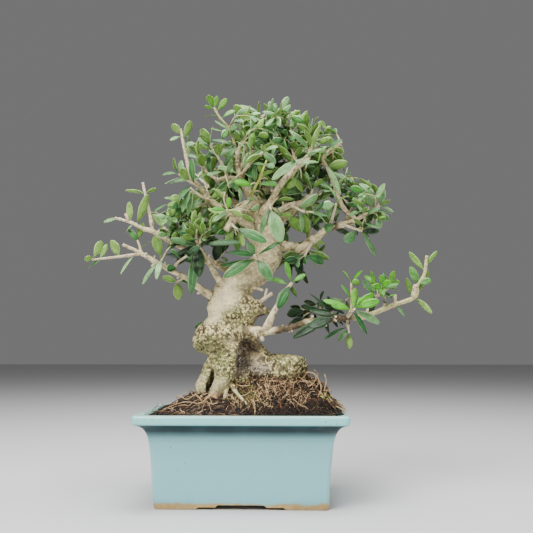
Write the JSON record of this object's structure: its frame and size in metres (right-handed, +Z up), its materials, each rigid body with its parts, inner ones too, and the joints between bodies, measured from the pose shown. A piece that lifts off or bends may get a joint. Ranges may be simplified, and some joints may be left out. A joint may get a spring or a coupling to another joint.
{
  "type": "olive bonsai tree",
  "caption": "Gnarled olive bonsai with a burled trunk, cut side stump and small leathery leaves on pruned branches, planted in a glazed rectangular pot.",
  "frame": {"origin": "bottom centre of the bounding box, on the surface that the pot's feet stand on", "axes": "+Z up along the height of the tree, +X to the right seen from the display front, +Y away from it, towards the back of the pot"},
  "size_m": [0.3244, 0.16, 0.3802],
  "materials": {
    "pot_glaze": "gloss",
    "soil": "matte",
    "screen_mesh": "matte",
    "bark": "matte",
    "leaf": "satin"
  },
  "bodies": {
    "root": {"pot": "pot_glaze", "soil": "soil", "drain_screen_left": "screen_mesh", "drain_screen_right": "screen_mesh", "trunk": "bark", "spray_left_tip": "leaf", "spray_left_fork": "leaf", "spray_left_spur": "leaf", "spray_left_mass": "leaf", "spray_left_low": "leaf", "spray_shelf_tip": "leaf", "spray_shelf_up": "leaf", "spray_shelf_mid": "leaf", "spray_shelf_back": "leaf", "spray_whorl_left": "leaf", "spray_heart_left": "leaf", "spray_upleft_tip": "leaf", "spray_upleft_mast": "leaf", "spray_upleft_hang": "leaf", "spray_upleft_back": "leaf", "spray_crown_left_low": "leaf", "spray_crown_left_mid": "leaf", "spray_crown_mast": "leaf", "spray_top_sprig": "leaf", "spray_top_curl": "leaf", "spray_top_peak": "leaf", "spray_upr_tip": "leaf", "spray_upr_front": "leaf", "spray_high_right": "leaf", "spray_arc_tip": "leaf", "spray_arc_low": "leaf", "spray_young_shoot": "leaf", "spray_right_tip": "leaf", "spray_right_top": "leaf", "spray_right_low": "leaf", "spray_right_front": "leaf", "spray_under_right": "leaf", "spray_right_back": "leaf", "spray_inner_right": "leaf", "spray_front_hang": "leaf", "spray_front_stub": "leaf", "spray_front_low": "leaf", "spray_whorl_centre": "leaf", "spray_knob_whorl": "leaf", "spray_low_whorl": "leaf", "spray_low_upright": "leaf", "spray_low_tip": "leaf", "spray_low_side": "leaf", "spray_low_left": "leaf", "spray_low_back": "leaf", "spray_low_down": "leaf", "spray_crown_back": "leaf", "spray_crown_back_right": "leaf", "spray_crown_back_left": "leaf", "spray_crown_front": "leaf", "spray_crown_mid": "leaf", "spray_crown_right": "leaf", "spray_back_low": "leaf", "spray_back_right": "leaf", "spray_back_centre": "leaf"}
  },
  "joints": []
}
